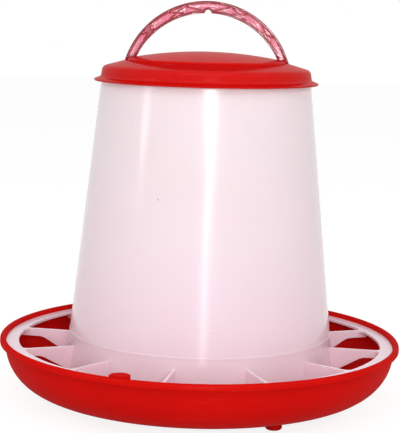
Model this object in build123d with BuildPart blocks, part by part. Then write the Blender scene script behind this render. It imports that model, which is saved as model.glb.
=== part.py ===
from build123d import *
import os
from math import cos, hypot, radians, sin, sqrt, tan

os.makedirs("parts", exist_ok=True)

# Poultry feeder, in millimetres. The origin is on the floor under the centre, +Z is up,
# the front is towards -Y and the handle's arch spans the X direction.

# Tray
rim_radius = 180.0
tray_wall = 1.8
tray_height = 48.9
tray_draft = 9.5
tray_corner_radius = 41.0
lip_gap = 1.4
lip_fall = 2.2
lip_depth = 6.5
lip_round = 0.8
cone_radius = 98.0
cone_height = 40.0
cone_tip_radius = 16.0
cone_tip_round = 14.0
cone_foot_round = 12.0
foot_count = 3
foot_angle = 60.0
foot_circle = 128.0
foot_radius = 7.2
foot_height = 7.0
foot_round = 2.5
lug_count = 2
lug_angle = 68.5
lug_width = 17.0
lug_reach = 11.0
lug_round = 8.3
lug_below_crest = 0.3

# Hopper and its grille
hopper_foot_radius = 121.3
hopper_mouth_radius = 92.7
hopper_height = 257.2
hopper_wall = 2.0
feed_gap = 19.8
band_height = 2.0
band_depth = 0.25
band_above_grille = 8.5
ring_below_crest = 5.5
ring_width = 10.8
ring_thickness = 2.2
fin_count = 12
fin_angle = 20.0
fin_thickness = 2.6
fin_end_depth = 6.8
fin_bend_share = 0.63
fin_bend_round = 15.0
fin_end_round = 1.5
compartment_round = 5.0
bead_height = 2.4
bead_clearance = 0.3
mouth_bead_drop = 3.6
plug_bead_drop = 8.2

# Lid
lid_wall = 1.5
brim_width = 6.0
brim_fall = 2.5
skirt_overhang = 0.8
skirt_height = 8.7
skirt_draft = 1.3
skirt_round = 2.5
shoulder_round = 5.0
shoulder_width = 22.2
crease_rise = 6.2
crease_step = 1.2
crease_draft = 0.3
dome_rise = 7.1
plug_depth = 10.0
plug_wall = 1.7

# Handle
arch_depth = 10.8
arch_centre_drop = 24.3
arch_foot_overhang = 1.9
arch_radius_step = 6.9
handle_width = 9.0
handle_rail = 2.3
handle_web = 1.2
rib_angles = (22.5, 46.5)
rib_half_span = 5.5
rib_thickness = 1.5
rib_width = 7.0
notch_radius = 3.0
notch_wall = 2.0
notch_rib_foot = 4.5
tang_width = 6.4
tang_inset = 0.7
tang_length = 8.5
barb_reach = 2.0
barb_height = 4.0

# Clearances
lug_clearance = 0.6
plug_clearance = 0.7
slot_clearance = 0.4
barb_clearance = 0.4

# Heights above the floor
tray_base = foot_height
tray_floor = tray_base + tray_wall
crest = tray_base + tray_height
ring_top = crest - ring_below_crest
hopper_base = tray_floor + feed_gap
hopper_top = hopper_base + hopper_height
skirt_base = hopper_top + lid_wall
shoulder_height = skirt_base + skirt_height
crease_height = shoulder_height + crease_rise + crease_step
dome_top = crease_height + dome_rise
arch_centre = crease_height - arch_centre_drop

# Radii of the lid, from the mouth that it closes
skirt_radius = hopper_mouth_radius + skirt_overhang
shoulder_radius = skirt_radius - skirt_draft
crease_radius = shoulder_radius - shoulder_width

# Tray wall: its outer skin under the lip, and its radius at any height
lip_inside = rim_radius - tray_wall
wall_top_radius = lip_inside - lip_gap
wall_top_height = crest - tray_wall
tray_floor_radius = wall_top_radius - tan(radians(tray_draft)) * (wall_top_height - tray_base)


def tray_inside(height):
    skin = wall_top_radius - tan(radians(tray_draft)) * (wall_top_height - height)
    return skin - tray_wall / cos(radians(tray_draft))


def hopper_outside(height):
    share = (height - hopper_base) / hopper_height
    return hopper_foot_radius + (hopper_mouth_radius - hopper_foot_radius) * share


def radial_plane(angle):
    return Plane(
        origin=(0, 0, 0),
        x_dir=(cos(radians(angle)), sin(radians(angle)), 0),
        z_dir=(sin(radians(angle)), -cos(radians(angle)), 0),
    )


# Tray: one thin skin turned about the axis, from the feed cone out to the rolled lip
with BuildPart() as tray:
    with BuildSketch(Plane.XZ):
        with BuildLine():
            FilletPolyline(
                (0, tray_base + cone_height),
                (cone_tip_radius, tray_base + cone_height),
                (cone_radius, tray_base),
                (tray_floor_radius, tray_base),
                (wall_top_radius, wall_top_height),
                (lip_inside, wall_top_height - lip_fall),
                (lip_inside, crest - lip_depth),
                radius=[cone_tip_round, cone_foot_round, tray_corner_radius, lip_round, lip_round],
            )
            offset(amount=tray_wall, side=Side.LEFT)
        make_face()
    revolve(axis=Axis.Z)
    # peg feet
    with BuildSketch(Plane.XY):
        with PolarLocations(foot_circle, foot_count, start_angle=foot_angle):
            Circle(foot_radius)
    extrude(amount=tray_floor)
    fillet(tray.edges().group_by(Axis.Z)[0], foot_round)
    # lugs that keep the grille ring from lifting out
    lug_base = ring_top + lug_clearance
    with BuildSketch(Plane.XY.offset(lug_base)):
        with PolarLocations(tray_inside(lug_base), lug_count, start_angle=lug_angle):
            RectangleRounded(lug_reach * 2, lug_width, lug_round)
        Circle(tray_inside(lug_base) + tray_wall / 2, mode=Mode.INTERSECT)
    extrude(amount=crest - lug_below_crest - lug_base)
tray.part.label = "tray"

# Hopper: a straight cone open at both ends, in one with the grille ring and its fins
ring_base = ring_top - ring_thickness
ring_radius = tray_inside(ring_base)
ring_inside = ring_radius - ring_width
ring_middle = ring_radius - ring_width / 2
wall_middle_top = hopper_outside(ring_top) - hopper_wall / 2
wall_middle_foot = hopper_foot_radius - hopper_wall / 2
fin_bend = hopper_foot_radius + (ring_inside - hopper_foot_radius) * fin_bend_share
fin_planes = [radial_plane(fin_angle + 360 / fin_count * n) for n in range(fin_count)]
bead_inside = hopper_outside(hopper_top - mouth_bead_drop) - hopper_wall
plug_radius = hopper_mouth_radius - hopper_wall - plug_clearance

with BuildPart() as hopper:
    with BuildSketch(Plane.XZ):
        with BuildLine():
            Polyline(
                (hopper_foot_radius, hopper_base),
                (hopper_mouth_radius, hopper_top),
                (hopper_mouth_radius - hopper_wall, hopper_top),
                (hopper_foot_radius - hopper_wall, hopper_base),
                close=True,
            )
        make_face()
        # low band round the wall a little above the grille
        band_base = ring_top + band_above_grille
        band_top = band_base + band_height
        with BuildLine():
            Polyline(
                (hopper_outside(band_base) - hopper_wall / 2, band_base),
                (hopper_outside(band_base) + band_depth, band_base),
                (hopper_outside(band_top) + band_depth, band_top),
                (hopper_outside(band_top) - hopper_wall / 2, band_top),
                close=True,
            )
        make_face()
        # bead inside the mouth that the lid snaps past
        with BuildLine():
            Polyline(
                (bead_inside + hopper_wall / 2, hopper_top - mouth_bead_drop + bead_height / 2),
                (plug_radius + bead_clearance, hopper_top - mouth_bead_drop),
                (bead_inside + hopper_wall / 2, hopper_top - mouth_bead_drop - bead_height / 2),
                close=True,
            )
        make_face()
        # outer edge of the grille ring, which sits in the taper of the tray's wall
        with BuildLine():
            Polyline(
                (ring_middle, ring_base),
                (ring_radius, ring_base),
                (tray_inside(ring_top), ring_top),
                (ring_middle, ring_top),
                close=True,
            )
        make_face()
    revolve(axis=Axis.Z)
    # ring with bars across to the wall, their corners rounded in plan
    with BuildSketch(Plane.XY.offset(ring_base)) as grille_plan:
        Circle(ring_radius)
        Circle(ring_inside, mode=Mode.SUBTRACT)
        bar_length = ring_middle - wall_middle_top
        with PolarLocations(wall_middle_top + bar_length / 2, fin_count, start_angle=fin_angle):
            Rectangle(bar_length, fin_thickness)
        fillet(
            grille_plan.vertices().filter_by(
                lambda v: abs(hypot(v.X, v.Y) - ring_inside) < fin_thickness / 4
            ),
            compartment_round,
        )
    extrude(amount=ring_thickness)
    # fins: shallow at the ring, from a bend on deeper down to the wall's lower edge
    with BuildSketch(*fin_planes):
        with BuildLine():
            edge = FilletPolyline(
                (ring_middle, ring_top),
                (ring_middle, ring_top - fin_end_depth),
                (fin_bend, ring_top - fin_end_depth),
                (hopper_foot_radius, hopper_base),
                radius=[fin_end_round, fin_bend_round],
            )
            Polyline(
                edge @ 1,
                (wall_middle_foot, hopper_base),
                (wall_middle_top, ring_top),
                edge @ 0,
            )
        make_face()
    extrude(amount=fin_thickness / 2, both=True)
hopper.part.label = "hopper"


def lid_skin():
    """Top side of the lid from the axis out to the tip of the brim."""
    dome_radius = (crease_radius**2 + dome_rise**2) / (2 * dome_rise)
    dome = RadiusArc((0, dome_top), (crease_radius, crease_height), dome_radius)
    step = Line(
        (crease_radius, crease_height),
        (crease_radius + crease_draft, crease_height - crease_step),
    )
    rest = FilletPolyline(
        step @ 1,
        (shoulder_radius, shoulder_height),
        (skirt_radius, skirt_base),
        (skirt_radius + brim_width, skirt_base - brim_fall),
        radius=[shoulder_round, skirt_round],
    )
    return dome, step, rest


# Lid: a thin skin, a flat seat on the hopper's edge and a plug that snaps into the mouth
plug_inside = plug_radius - plug_wall
foot_outside = crease_radius + arch_foot_overhang
arch_radius = hypot(foot_outside, arch_centre_drop)
inner_radius = arch_radius - arch_radius_step
inner_centre = arch_centre + arch_radius_step - arch_depth
foot_inside = sqrt(inner_radius**2 - (crease_height - inner_centre) ** 2)
tang_inside = foot_inside + tang_inset
tang_outside = foot_outside - tang_inset
tang_middle = (tang_inside + tang_outside) / 2

with BuildPart() as lid:
    with BuildSketch(Plane.XZ):
        with BuildLine():
            lid_skin()
            offset(amount=lid_wall, side=Side.RIGHT)
        make_face()
        with BuildLine():
            Polyline(
                (skirt_radius - lid_wall / 2, skirt_base),
                (plug_inside, skirt_base),
                (plug_inside, hopper_top - plug_depth),
                (plug_radius, hopper_top - plug_depth),
                (plug_radius, hopper_top),
                (skirt_radius - lid_wall / 2, hopper_top),
                close=True,
            )
        make_face()
        plug_bead = hopper_outside(hopper_top - plug_bead_drop) - hopper_wall - bead_clearance
        with BuildLine():
            Polyline(
                (plug_radius - plug_wall / 2, hopper_top - plug_bead_drop + bead_height / 2),
                (plug_bead, hopper_top - plug_bead_drop),
                (plug_radius - plug_wall / 2, hopper_top - plug_bead_drop - bead_height / 2),
                close=True,
            )
        make_face()
    revolve(axis=Axis.Z)
    # slots at the crease for the handle's tangs
    with BuildSketch(Plane.XY.offset(shoulder_height)):
        with Locations((-tang_middle, 0), (tang_middle, 0)):
            Rectangle(
                tang_outside - tang_inside + 2 * slot_clearance,
                tang_width + 2 * slot_clearance,
            )
    extrude(amount=dome_top - shoulder_height, mode=Mode.SUBTRACT)
lid.part.label = "lid"


def on_outer_arc(angle):
    """Point on the inner side of the outer rail, at an angle from the top of the arch."""
    radius = arch_radius - handle_rail
    return (radius * sin(radians(angle)), arch_centre + radius * cos(radians(angle)))


def on_inner_arc(angle):
    """Point on the outer side of the inner rail, at an angle from the top of the arch."""
    radius = inner_radius + handle_rail
    return (radius * sin(radians(angle)), inner_centre + radius * cos(radians(angle)))


# Handle: an arch of I section that stands on the lid's crease, with crossed ribs along its web.
# Its inner side has a smaller radius and a lower centre, so that it slims towards its feet.
notch_height = inner_centre + inner_radius
with BuildPart() as handle:
    # two rails and the small bow that carries the inner one over the hanging notch
    with BuildSketch(Plane.XZ):
        with Locations((0, arch_centre)):
            Circle(arch_radius)
            Circle(arch_radius - handle_rail, mode=Mode.SUBTRACT)
        with Locations((0, inner_centre)):
            Circle(inner_radius + handle_rail)
        with Locations((0, notch_height)):
            Circle(notch_radius + notch_wall)
        with Locations((0, inner_centre)):
            Circle(inner_radius, mode=Mode.SUBTRACT)
        with Locations((0, notch_height)):
            Circle(notch_radius, mode=Mode.SUBTRACT)
    extrude(amount=handle_width / 2, both=True)
    # web
    with BuildSketch(Plane.XZ):
        with Locations((0, arch_centre)):
            Circle(arch_radius - handle_rail / 2)
        with Locations((0, inner_centre)):
            Circle(inner_radius + handle_rail / 2, mode=Mode.SUBTRACT)
        with Locations((0, notch_height)):
            Circle(notch_radius, mode=Mode.SUBTRACT)
    extrude(amount=handle_web / 2, both=True)
    # crossed ribs, and one leaning each way from the notch
    with BuildSketch(Plane.XZ):
        with BuildLine():
            for side in (-1, 1):
                for angle in rib_angles:
                    for lean in (-rib_half_span, rib_half_span):
                        Line(on_inner_arc(side * angle - lean), on_outer_arc(side * angle + lean))
                Line(
                    on_inner_arc(side * notch_rib_foot),
                    on_outer_arc(side * (notch_rib_foot + 2 * rib_half_span)),
                )
        trace(line_width=rib_thickness)
    extrude(amount=rib_width / 2, both=True)
    # what is below the lid's outline goes, so that the arch seats on the lid
    with BuildSketch(Plane.XZ):
        with BuildLine():
            lid_skin()
            Polyline(
                (skirt_radius + brim_width, skirt_base - brim_fall),
                (skirt_radius + brim_width, arch_centre - 2 * arch_radius),
                (0, arch_centre - 2 * arch_radius),
                (0, dome_top),
            )
        make_face()
        mirror(about=Plane.YZ)
    extrude(amount=handle_width, both=True, mode=Mode.SUBTRACT)
    # tangs of two prongs each, barbed below the lid
    barb_top = (
        crease_height
        - lid_wall
        - crease_step
        - (tang_outside + barb_reach - crease_radius) * crease_rise / shoulder_width
        - barb_clearance
    )
    tang_bottom = crease_height - tang_length
    with BuildSketch(Plane.XZ):
        with Locations((-tang_middle, tang_bottom), (tang_middle, tang_bottom)):
            Rectangle(
                tang_outside - tang_inside,
                tang_length + dome_rise / 4,
                align=(Align.CENTER, Align.MIN),
            )
            Rectangle(
                tang_outside - tang_inside - 2 * handle_rail,
                tang_length - lid_wall,
                align=(Align.CENTER, Align.MIN),
                mode=Mode.SUBTRACT,
            )
        for side in (-1, 1):
            for edge_x, outward in ((tang_inside, -side), (tang_outside, side)):
                with BuildLine():
                    Polyline(
                        (side * edge_x - outward * handle_rail / 2, barb_top),
                        (side * edge_x + outward * barb_reach, barb_top),
                        (side * edge_x, barb_top - barb_height),
                        (side * edge_x - outward * handle_rail / 2, barb_top - barb_height),
                        close=True,
                    )
                make_face()
    extrude(amount=tang_width / 2, both=True)
handle.part.label = "handle"

for piece in (tray, hopper, lid, handle):
    export_step(piece.part, f"parts/{piece.part.label}.step")
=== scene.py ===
import bmesh
import bpy
import math
from mathutils import Matrix, Vector


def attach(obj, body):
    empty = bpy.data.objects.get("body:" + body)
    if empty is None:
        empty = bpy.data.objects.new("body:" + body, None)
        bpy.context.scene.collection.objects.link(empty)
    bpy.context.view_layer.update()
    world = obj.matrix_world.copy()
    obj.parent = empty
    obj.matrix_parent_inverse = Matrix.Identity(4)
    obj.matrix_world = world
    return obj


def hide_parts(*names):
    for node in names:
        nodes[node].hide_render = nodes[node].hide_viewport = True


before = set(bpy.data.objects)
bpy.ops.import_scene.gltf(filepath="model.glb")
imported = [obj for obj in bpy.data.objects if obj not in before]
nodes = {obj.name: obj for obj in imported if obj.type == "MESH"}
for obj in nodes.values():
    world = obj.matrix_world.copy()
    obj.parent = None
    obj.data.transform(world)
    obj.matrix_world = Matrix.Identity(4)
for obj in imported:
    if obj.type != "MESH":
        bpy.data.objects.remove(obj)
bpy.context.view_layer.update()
print("frame loaded:", ", ".join(sorted(nodes)))


def fromScreen(red, green, blue):  # a colour as a screen shows it, 0 to 255, to Blender's linear values
    def one(value):
        value = value / 255
        return value / 12.92 if value < 0.04045 else ((value + 0.055) / 1.055) ** 2.4
    return (one(red), one(green), one(blue), 1)


def addNode(tree, kind, place=(0, 0), **values):  # a node with its plain properties set
    node = tree.nodes.new(kind)
    node.location = (place[0] * 200, place[1] * 160)
    for key, value in values.items():
        setattr(node, key, value)
    return node


def maths(tree, operation, first, second=None, third=None, place=(0, 0)):
    node = addNode(tree, "ShaderNodeMath", place, operation=operation)
    for number, value in enumerate((first, second, third)):
        if value is None:
            continue
        if isinstance(value, (int, float)):
            node.inputs[number].default_value = value
        else:
            tree.links.new(value, node.inputs[number])
    return node.outputs[0]


def mapRange(tree, value, fromLow, fromHigh, toLow, toHigh, place=(0, 0), smooth=False):
    node = addNode(tree, "ShaderNodeMapRange", place)
    node.interpolation_type = "SMOOTHSTEP" if smooth else "LINEAR"
    for name, item in (("Value", value), ("From Min", fromLow), ("From Max", fromHigh),
                       ("To Min", toLow), ("To Max", toHigh)):
        if isinstance(item, (int, float)):
            node.inputs[name].default_value = item
        else:
            tree.links.new(item, node.inputs[name])
    return node.outputs["Result"]


def mixColours(tree, factor, first, second, blend="MIX", place=(0, 0)):
    node = addNode(tree, "ShaderNodeMix", place, data_type="RGBA", blend_type=blend)
    for name, item in ((0, factor), (6, first), (7, second)):
        if isinstance(item, (int, float, tuple)):
            node.inputs[name].default_value = item
        else:
            tree.links.new(item, node.inputs[name])
    return node.outputs[2]


def newGroup(name, inputs, outputs):
    group = bpy.data.node_groups.new(name, "ShaderNodeTree")
    for label, kind, value in inputs:
        socket = group.interface.new_socket(name=label, in_out="INPUT", socket_type=kind)
        if value is not None:
            socket.default_value = value
    for label, kind in outputs:
        group.interface.new_socket(name=label, in_out="OUTPUT", socket_type=kind)
    return group, addNode(group, "NodeGroupInput", (-5, 0)), addNode(group, "NodeGroupOutput", (6, 0))


# fine unevenness of moulded plastic: a skin height for bumps and a slow mottling
mouldedSkin, skinIn, skinOut = newGroup(
    "mouldedSkin",
    [("Vector", "NodeSocketVector", None), ("Grain Size", "NodeSocketFloat", 0.0015),
     ("Mottle Size", "NodeSocketFloat", 0.04)],
    [("Height", "NodeSocketFloat"), ("Mottle", "NodeSocketFloat")],
)
grainNoise = addNode(mouldedSkin, "ShaderNodeTexNoise", (-1, 1))
grainNoise.inputs["Detail"].default_value = 3
mouldedSkin.links.new(skinIn.outputs["Vector"], grainNoise.inputs["Vector"])
mouldedSkin.links.new(maths(mouldedSkin, "DIVIDE", 1.0, skinIn.outputs["Grain Size"], place=(-3, 1)),
                      grainNoise.inputs["Scale"])
mottleNoise = addNode(mouldedSkin, "ShaderNodeTexNoise", (-1, -1))
mottleNoise.inputs["Detail"].default_value = 2
mouldedSkin.links.new(skinIn.outputs["Vector"], mottleNoise.inputs["Vector"])
mouldedSkin.links.new(maths(mouldedSkin, "DIVIDE", 1.0, skinIn.outputs["Mottle Size"], place=(-3, -1)),
                      mottleNoise.inputs["Scale"])
mouldedSkin.links.new(grainNoise.outputs["Fac"], skinOut.inputs["Height"])
mouldedSkin.links.new(mapRange(mouldedSkin, mottleNoise.outputs["Fac"], 0.25, 0.75, 0.0, 1.0, (2, -1), smooth=True),
                      skinOut.inputs["Mottle"])

# hairline scuffs from handling, in two directions, in patches
handlingScuffs, scuffIn, scuffOut = newGroup(
    "handlingScuffs",
    [("Vector", "NodeSocketVector", None), ("Line Width", "NodeSocketFloat", 0.0006),
     ("Amount", "NodeSocketFloat", 0.4)],
    [("Mask", "NodeSocketFloat")],
)
lineMasks = []
for turn, stretch in ((0.5, 28.0), (-0.9, 40.0)):
    turned = addNode(handlingScuffs, "ShaderNodeMapping", (-3, 2 * turn))
    turned.inputs["Rotation"].default_value = (0.35 * turn, turn, 0.6 * turn)
    turned.inputs["Scale"].default_value = (1.0 / stretch, 1.0, 1.0)
    handlingScuffs.links.new(scuffIn.outputs["Vector"], turned.inputs["Vector"])
    lineNoise = addNode(handlingScuffs, "ShaderNodeTexNoise", (-1, 2 * turn))
    lineNoise.inputs["Detail"].default_value = 1
    handlingScuffs.links.new(turned.outputs["Vector"], lineNoise.inputs["Vector"])
    handlingScuffs.links.new(
        maths(handlingScuffs, "DIVIDE", 0.35, scuffIn.outputs["Line Width"], place=(-3, 2 * turn - 1)),
        lineNoise.inputs["Scale"])
    lineMasks.append(mapRange(handlingScuffs, lineNoise.outputs["Fac"], 0.66, 0.74, 0.0, 1.0, (1, 2 * turn)))
patchNoise = addNode(handlingScuffs, "ShaderNodeTexNoise", (-1, -3))
patchNoise.inputs["Scale"].default_value = 18
handlingScuffs.links.new(scuffIn.outputs["Vector"], patchNoise.inputs["Vector"])
patches = mapRange(handlingScuffs, patchNoise.outputs["Fac"], 0.45, 0.62, 0.0, 1.0, (1, -3), smooth=True)
eitherLine = maths(handlingScuffs, "MAXIMUM", lineMasks[0], lineMasks[1], place=(2, 0))
inPatches = maths(handlingScuffs, "MULTIPLY", eitherLine, patches, place=(3, 0))
handlingScuffs.links.new(
    maths(handlingScuffs, "MULTIPLY", inPatches, scuffIn.outputs["Amount"], place=(4, 0)),
    scuffOut.inputs["Mask"])

# scattered small specks, such as dust or grit in the plastic
looseSpecks, speckIn, speckOut = newGroup(
    "looseSpecks",
    [("Vector", "NodeSocketVector", None), ("Spacing", "NodeSocketFloat", 0.03),
     ("Speck Size", "NodeSocketFloat", 0.0004)],
    [("Mask", "NodeSocketFloat")],
)
speckCells = addNode(looseSpecks, "ShaderNodeTexVoronoi", (-1, 0))
looseSpecks.links.new(speckIn.outputs["Vector"], speckCells.inputs["Vector"])
looseSpecks.links.new(maths(looseSpecks, "DIVIDE", 1.0, speckIn.outputs["Spacing"], place=(-3, 0)),
                      speckCells.inputs["Scale"])
speckEdge = maths(looseSpecks, "DIVIDE", speckIn.outputs["Speck Size"], speckIn.outputs["Spacing"], place=(-1, -2))
inSpeck = maths(looseSpecks, "LESS_THAN", speckCells.outputs["Distance"], speckEdge, place=(2, 0))
looseSpecks.links.new(inSpeck, speckOut.inputs["Mask"])

# a colour that changes with height up the piece; on the tray and the hopper it carries painted light and shade
heightTint, tintIn, tintOut = newGroup(
    "heightTint",
    [("Vector", "NodeSocketVector", None), ("Low", "NodeSocketFloat", 0.0), ("High", "NodeSocketFloat", 0.1),
     ("Low Colour", "NodeSocketColor", (0.5, 0.5, 0.5, 1)), ("High Colour", "NodeSocketColor", (0.8, 0.8, 0.8, 1))],
    [("Color", "NodeSocketColor"), ("Share", "NodeSocketFloat")],
)
splitHeight = addNode(heightTint, "ShaderNodeSeparateXYZ", (-3, 0))
heightTint.links.new(tintIn.outputs["Vector"], splitHeight.inputs["Vector"])
riseShare = mapRange(heightTint, splitHeight.outputs["Z"], tintIn.outputs["Low"], tintIn.outputs["High"],
                     0.0, 1.0, (-1, 0), smooth=True)
heightTint.links.new(
    mixColours(heightTint, riseShare, tintIn.outputs["Low Colour"], tintIn.outputs["High Colour"], place=(2, 0)),
    tintOut.inputs["Color"])
heightTint.links.new(riseShare, tintOut.inputs["Share"])
print("shader groups built")


def placeGroup(tree, group, vector, place, **values):
    node = addNode(tree, "ShaderNodeGroup", place, node_tree=group)
    tree.links.new(vector, node.inputs["Vector"])
    for label, value in values.items():
        node.inputs[label.replace("_", " ")].default_value = value
    return node


def newMaterial(name):
    material = bpy.data.materials.new(name)
    material.use_nodes = True
    tree = material.node_tree
    tree.nodes.clear()
    surface = addNode(tree, "ShaderNodeBsdfPrincipled", (5, 0))
    output = addNode(tree, "ShaderNodeOutputMaterial", (8, 0))
    tree.links.new(surface.outputs[0], output.inputs["Surface"])
    position = addNode(tree, "ShaderNodeTexCoord", (-8, 0)).outputs["Object"]
    return material, tree, surface, output, position


def addBump(tree, surface, height, strength, distance, place=(3, -4)):
    bump = addNode(tree, "ShaderNodeBump", place)
    bump.inputs["Strength"].default_value = strength
    bump.inputs["Distance"].default_value = distance
    tree.links.new(height, bump.inputs["Height"])
    tree.links.new(bump.outputs["Normal"], surface.inputs["Normal"])


def redPlastic(name, settings):  # solid coloured moulded plastic of the tray and the lid
    material, tree, surface, output, position = newMaterial(name)
    skin = placeGroup(tree, mouldedSkin, position, (-5, 2),
                      Grain_Size=settings["grainSize"], Mottle_Size=settings["mottleSize"])
    scuffs = placeGroup(tree, handlingScuffs, position, (-5, 0),
                        Line_Width=settings["scuffWidth"], Amount=settings["scuffAmount"])
    # the height tint is painted shade low on the tray wall; on the lid it is darker towards the brim
    tint = placeGroup(tree, heightTint, position, (-5, -2), Low=settings["tintLow"], High=settings["tintHigh"],
                      Low_Colour=settings["lowColour"], High_Colour=settings["colour"])
    deeper = mixColours(tree, skin.outputs["Mottle"], settings["mottleColour"], (1, 1, 1, 1), place=(-2, 3))
    mottled = mixColours(tree, 1.0, tint.outputs["Color"], deeper, "MULTIPLY", (0, 2))
    scuffed = mixColours(tree, scuffs.outputs["Mask"], mottled, settings["scuffColour"], place=(2, 1))
    tree.links.new(scuffed, surface.inputs["Base Color"])
    plainRough = mapRange(tree, skin.outputs["Mottle"], 0.0, 1.0, settings["roughLow"], settings["roughHigh"], (0, 0))
    roughness = maths(tree, "MULTIPLY_ADD", scuffs.outputs["Mask"], settings["scuffRoughness"], plainRough, (2, -1))
    tree.links.new(roughness, surface.inputs["Roughness"])
    surface.inputs["Specular IOR Level"].default_value = 0.0  # the shine is all in the coat
    surface.inputs["Coat Weight"].default_value = settings["shine"]
    surface.inputs["Coat Roughness"].default_value = settings["shineRoughness"]
    addBump(tree, surface, skin.outputs["Height"], settings["grainBump"], settings["grainDepth"])
    return material


traySettings = {
    "colour": fromScreen(214, 14, 8),
    # painted shade: darker red on the bottom of the tray wall
    "lowColour": fromScreen(206, 12, 7),
    "tintLow": 0.005,
    "tintHigh": 0.035,
    "mottleColour": (0.93, 0.9, 0.9, 1),
    "grainSize": 0.0011,
    "mottleSize": 0.05,
    "grainBump": 0.10,
    "grainDepth": 0.0004,
    "roughLow": 0.34,
    "roughHigh": 0.42,
    "scuffWidth": 0.0005,
    "scuffAmount": 0.16,
    "scuffColour": fromScreen(222, 70, 60),
    "scuffRoughness": 0.2,
    "shine": 0.08,
    "shineRoughness": 0.3,
}
lidSettings = {
    "colour": fromScreen(212, 14, 10),
    "lowColour": fromScreen(208, 13, 10),
    "tintLow": 0.285,
    "tintHigh": 0.300,
    "mottleColour": (0.95, 0.92, 0.92, 1),
    "grainSize": 0.0012,
    "mottleSize": 0.06,
    "grainBump": 0.06,
    "grainDepth": 0.0003,
    "roughLow": 0.16,
    "roughHigh": 0.22,
    "scuffWidth": 0.0004,
    "scuffAmount": 0.15,
    "scuffColour": fromScreen(226, 80, 66),
    "scuffRoughness": 0.25,
    "shine": 0.22,
    "shineRoughness": 0.05,
}
trayRed = redPlastic("trayRed", traySettings)
lidRed = redPlastic("lidRed", lidSettings)

# see-through natural plastic of the hopper: milky, with painted light low down: pinker towards the tray, standing in
# for red light bounced from it
hopperSettings = {
    "highColour": fromScreen(245, 227, 232),
    # painted light: pinker low on the hopper, standing in for red light bounced from the tray
    "lowColour": fromScreen(250, 224, 235),
    "tintLow": 0.045,
    "tintHigh": 0.24,
    "mottleColour": (0.985, 0.975, 0.97, 1),
    "mottleSize": 0.075,
    "grainSize": 0.0016,
    "grainBump": 0.08,
    "grainDepth": 0.0004,
    "milkDepth": 0.003,
    "milkSpread": (1.0, 0.8, 0.85),
    "milkShare": 0.4,
    "roughLow": 0.15,
    "roughHigh": 0.21,
    "gloss": 0.45,
    "scuffWidth": 0.0005,
    "scuffAmount": 0.3,
    "scuffColour": fromScreen(252, 248, 248),
    "speckSpacing": 0.055,
    "speckSize": 0.0013,
    "speckColour": fromScreen(150, 120, 115),
}
hopperMilky, hopperTree, hopperSurface, hopperOutput, hopperPosition = newMaterial("hopperMilky")
hopperSkin = placeGroup(hopperTree, mouldedSkin, hopperPosition, (-5, 3),
                        Grain_Size=hopperSettings["grainSize"], Mottle_Size=hopperSettings["mottleSize"])
hopperScuffs = placeGroup(hopperTree, handlingScuffs, hopperPosition, (-5, 1),
                          Line_Width=hopperSettings["scuffWidth"], Amount=hopperSettings["scuffAmount"])
hopperSpecks = placeGroup(hopperTree, looseSpecks, hopperPosition, (-5, -1),
                          Spacing=hopperSettings["speckSpacing"], Speck_Size=hopperSettings["speckSize"])
# painted light: the height tint paints red bounce light from the tray onto the lower hopper
hopperPaintedBounceTint = placeGroup(hopperTree, heightTint, hopperPosition, (-5, -3),
                        Low=hopperSettings["tintLow"], High=hopperSettings["tintHigh"],
                        Low_Colour=hopperSettings["lowColour"], High_Colour=hopperSettings["highColour"])
milkMottle = mixColours(hopperTree, hopperSkin.outputs["Mottle"], hopperSettings["mottleColour"], (1, 1, 1, 1),
                        place=(-2, 3))
milkWithPaintedBounce = mixColours(hopperTree, 1.0, hopperPaintedBounceTint.outputs["Color"], milkMottle, "MULTIPLY", (0, 3))
milkScuffed = mixColours(hopperTree, hopperScuffs.outputs["Mask"], milkWithPaintedBounce, hopperSettings["scuffColour"],
                         place=(1, 2))
milkSpecked = mixColours(hopperTree, hopperSpecks.outputs["Mask"], milkScuffed, hopperSettings["speckColour"],
                         place=(2, 1))
hopperTree.links.new(milkSpecked, hopperSurface.inputs["Base Color"])
hopperTree.links.new(
    mapRange(hopperTree, hopperSkin.outputs["Mottle"], 0.0, 1.0,
             hopperSettings["roughLow"], hopperSettings["roughHigh"], (2, 0)),
    hopperSurface.inputs["Roughness"])
hopperSurface.inputs["Specular IOR Level"].default_value = hopperSettings["gloss"]
hopperSurface.inputs["Subsurface Weight"].default_value = hopperSettings["milkShare"]
hopperSurface.inputs["Subsurface Radius"].default_value = hopperSettings["milkSpread"]
hopperSurface.inputs["Subsurface Scale"].default_value = hopperSettings["milkDepth"]
addBump(hopperTree, hopperSurface, hopperSkin.outputs["Height"],
        hopperSettings["grainBump"], hopperSettings["grainDepth"])

# clear crimson plastic of the handle: colour comes from its thickness
handleSettings = {
    "surfaceColour": fromScreen(255, 196, 212),
    "mottleColour": fromScreen(250, 160, 185),
    "mottleSize": 0.02,
    "grainSize": 0.002,
    "grainBump": 0.12,
    "grainDepth": 0.0004,
    "roughLow": 0.08,
    "roughHigh": 0.16,
    "clearShare": 0.94,
    "density": 620.0,
    "keptLight": (0.78, 0.03, 0.2, 1),
    "edgeRadius": 0.0004,
}
handleCrimson, handleTree, handleSurface, handleOutput, handlePosition = newMaterial("handleCrimson")
handleSkin = placeGroup(handleTree, mouldedSkin, handlePosition, (-5, 2),
                        Grain_Size=handleSettings["grainSize"], Mottle_Size=handleSettings["mottleSize"])
handleTree.links.new(
    mixColours(handleTree, handleSkin.outputs["Mottle"], handleSettings["mottleColour"],
               handleSettings["surfaceColour"], place=(0, 2)),
    handleSurface.inputs["Base Color"])
handleTree.links.new(
    mapRange(handleTree, handleSkin.outputs["Mottle"], 0.0, 1.0,
             handleSettings["roughLow"], handleSettings["roughHigh"], (0, 0)),
    handleSurface.inputs["Roughness"])
handleSurface.inputs["Transmission Weight"].default_value = handleSettings["clearShare"]
handleSurface.inputs["IOR"].default_value = 1.49
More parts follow.
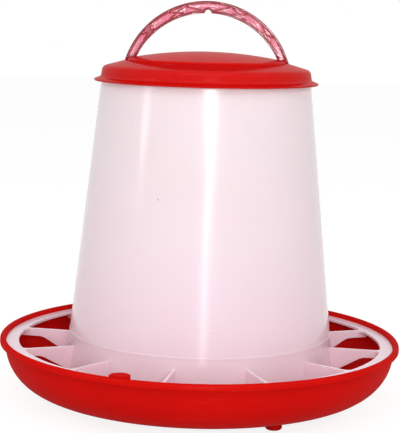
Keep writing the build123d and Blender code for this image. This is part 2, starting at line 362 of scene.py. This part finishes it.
addBump(handleTree, handleSurface, handleSkin.outputs["Height"],
        handleSettings["grainBump"], handleSettings["grainDepth"])
clearDepth = addNode(handleTree, "ShaderNodeVolumeAbsorption", (5, -3))
clearDepth.inputs["Color"].default_value = handleSettings["keptLight"]
clearDepth.inputs["Density"].default_value = handleSettings["density"]
handleTree.links.new(clearDepth.outputs[0], handleOutput.inputs["Volume"])

for nodeName, material in (("tray", trayRed), ("hopper", hopperMilky), ("lid", lidRed), ("handle", handleCrimson)):
    nodes[nodeName].data.materials.clear()
    nodes[nodeName].data.materials.append(material)


def roundEdges(nodeName, pieceName, radius):  # a copy of a CAD node with its sharp edges rounded
    shape = bmesh.new()
    shape.from_mesh(nodes[nodeName].data)
    bmesh.ops.remove_doubles(shape, verts=shape.verts, dist=1e-6)
    bmesh.ops.dissolve_limit(shape, angle_limit=math.radians(0.5), verts=shape.verts, edges=shape.edges)
    mesh = bpy.data.meshes.new(pieceName)
    shape.to_mesh(mesh)
    shape.free()
    for polygon in mesh.polygons:
        polygon.use_smooth = True
    piece = bpy.data.objects.new(pieceName, mesh)
    bpy.context.scene.collection.objects.link(piece)
    for material in nodes[nodeName].data.materials:
        mesh.materials.append(material)
    rounding = piece.modifiers.new("rounding", "BEVEL")
    rounding.width = radius
    rounding.segments = 2
    rounding.limit_method = "ANGLE"
    rounding.angle_limit = math.radians(32)
    rounding.harden_normals = True
    rounding.miter_outer = "MITER_ARC"
    rounded = bpy.data.meshes.new_from_object(piece.evaluated_get(bpy.context.evaluated_depsgraph_get()))
    piece.modifiers.clear()
    piece.data = rounded
    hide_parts(nodeName)
    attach(piece, "root")
    return piece


roundedHandle = roundEdges("handle", "handleRounded", handleSettings["edgeRadius"])
print("materials placed on tray, hopper, lid and handle")

cameraSettings = {
    "place": (0.0, -1.2969, 0.3468),
    "downward": 0.1408,  # radians below level
    "roll": 0.026,
    "turn": 0.0019,
    "pixelsPerUnitTangent": 1456.07,  # focal length in picture heights' pixels
    "longSide": 433,
}
camera = bpy.data.objects.new("camera", bpy.data.cameras.new("camera"))
bpy.context.scene.collection.objects.link(camera)
bpy.context.scene.camera = camera
camera.data.sensor_width = 36
camera.data.lens = cameraSettings["pixelsPerUnitTangent"] * 36 / cameraSettings["longSide"]
camera.matrix_world = (
    Matrix.Translation(cameraSettings["place"])
    @ Matrix.Rotation(cameraSettings["turn"], 4, "Z")
    @ Matrix.Rotation(math.pi / 2 - cameraSettings["downward"], 4, "X")
    @ Matrix.Rotation(cameraSettings["roll"], 4, "Z")
)
print("camera set")

# plain pale floor that the camera sees as white, with the feeder's soft shadow left on it
floorSettings = {"halfSide": 6.0, "paper": 0.8, "seenGlow": 0.86, "seenPaper": 0.24}
floorMesh = bpy.data.meshes.new("floor")
half = floorSettings["halfSide"]
floorMesh.from_pydata([(-half, -half, 0), (half, -half, 0), (half, half, 0), (-half, half, 0)], [], [(0, 1, 2, 3)])
floor = bpy.data.objects.new("floor", floorMesh)
bpy.context.scene.collection.objects.link(floor)
floorPaper = bpy.data.materials.new("floorPaper")
floorPaper.use_nodes = True
floorTree = floorPaper.node_tree
floorTree.nodes.clear()
plainPaper = addNode(floorTree, "ShaderNodeBsdfDiffuse", (0, 2))
plainPaper.inputs["Color"].default_value = (floorSettings["paper"],) * 3 + (1,)
seenPaper = addNode(floorTree, "ShaderNodeBsdfDiffuse", (0, 0))
seenPaper.inputs["Color"].default_value = (floorSettings["seenPaper"],) * 3 + (1,)
seenGlow = addNode(floorTree, "ShaderNodeEmission", (0, -2))
seenGlow.inputs["Strength"].default_value = floorSettings["seenGlow"]
seenBoth = addNode(floorTree, "ShaderNodeAddShader", (2, -1))
floorTree.links.new(seenPaper.outputs[0], seenBoth.inputs[0])
floorTree.links.new(seenGlow.outputs[0], seenBoth.inputs[1])


def seenRay(tree, place):  # 1 for a ray that shows the surroundings themselves
    path = addNode(tree, "ShaderNodeLightPath", place)
    direct = maths(tree, "MAXIMUM", path.outputs["Is Camera Ray"], path.outputs["Is Glossy Ray"],
                   place=(place[0] + 1, place[1]))
    return maths(tree, "MAXIMUM", direct, path.outputs["Is Transmission Ray"], place=(place[0] + 2, place[1]))


floorMix = addNode(floorTree, "ShaderNodeMixShader", (4, 0))
floorTree.links.new(seenRay(floorTree, (-1, 4)), floorMix.inputs[0])
floorTree.links.new(plainPaper.outputs[0], floorMix.inputs[1])
floorTree.links.new(seenBoth.outputs[0], floorMix.inputs[2])
floorTree.links.new(floorMix.outputs[0], addNode(floorTree, "ShaderNodeOutputMaterial", (6, 0)).inputs["Surface"])
floorMesh.materials.append(floorPaper)

worldSettings = {"roomLight": 0.48, "backdrop": 1.0}
studio = bpy.data.worlds.new("studio")
bpy.context.scene.world = studio
studio.use_nodes = True
studioTree = studio.node_tree
studioTree.nodes.clear()
roomLight = addNode(studioTree, "ShaderNodeBackground", (0, 1))
roomLight.inputs["Color"].default_value = (1, 1, 1, 1)
roomLight.inputs["Strength"].default_value = worldSettings["roomLight"]
backdrop = addNode(studioTree, "ShaderNodeBackground", (0, -1))
backdrop.inputs["Color"].default_value = (1, 1, 1, 1)
backdrop.inputs["Strength"].default_value = worldSettings["backdrop"]
studioMix = addNode(studioTree, "ShaderNodeMixShader", (4, 0))
studioTree.links.new(seenRay(studioTree, (-1, 3)), studioMix.inputs[0])
studioTree.links.new(roomLight.outputs[0], studioMix.inputs[1])
studioTree.links.new(backdrop.outputs[0], studioMix.inputs[2])
studioTree.links.new(studioMix.outputs[0], addNode(studioTree, "ShaderNodeOutputWorld", (6, 0)).inputs["Surface"])

# lamps: azimuth from the front towards the right and elevation in degrees, sizes in metres, power in watts
lampSettings = {
    "windowHigh": {"azimuth": 6.5, "elevation": 9.5, "distance": 2.4, "width": 0.28, "height": 0.36, "power": 3.4},
    "windowLow": {"azimuth": 3.0, "elevation": 0.5, "distance": 2.4, "width": 0.12, "height": 0.38, "power": 2.4},
    "frontBar": {"azimuth": 5, "elevation": 14.5, "distance": 2.4, "width": 0.56, "height": 0.07, "power": 10},
    "leftPanel": {"azimuth": -64, "elevation": 8.5, "distance": 2.4, "width": 0.25, "height": 0.2, "power": 1.6},
    "leftBar": {"azimuth": -62, "elevation": 36, "distance": 2.4, "width": 1.5, "height": 0.06, "power": 7},
    "rightBar": {"azimuth": 62, "elevation": 36, "distance": 2.4, "width": 1.5, "height": 0.06, "power": 7},
    "overhead": {"azimuth": 0, "elevation": 50, "distance": 2.2, "width": 1.6, "height": 1.6, "power": 8},
}
for lampName, values in lampSettings.items():
    lamp = bpy.data.lights.new(lampName, "AREA")
    lamp.shape = "RECTANGLE"
    lamp.size = values["width"]
    lamp.size_y = values["height"]
    lamp.energy = values["power"]
    holder = bpy.data.objects.new(lampName, lamp)
    bpy.context.scene.collection.objects.link(holder)
    side, rise = math.radians(values["azimuth"]), math.radians(values["elevation"])
    towards = Vector((math.sin(side) * math.cos(rise), -math.cos(side) * math.cos(rise), math.sin(rise)))
    holder.location = Vector((0, 0, 0.18)) + towards * values["distance"]
    holder.rotation_mode = "QUATERNION"
    holder.rotation_quaternion = towards.to_track_quat("Z", "Y")
print("floor, room and lamps set")

bpy.context.scene.view_settings.view_transform = "Standard"
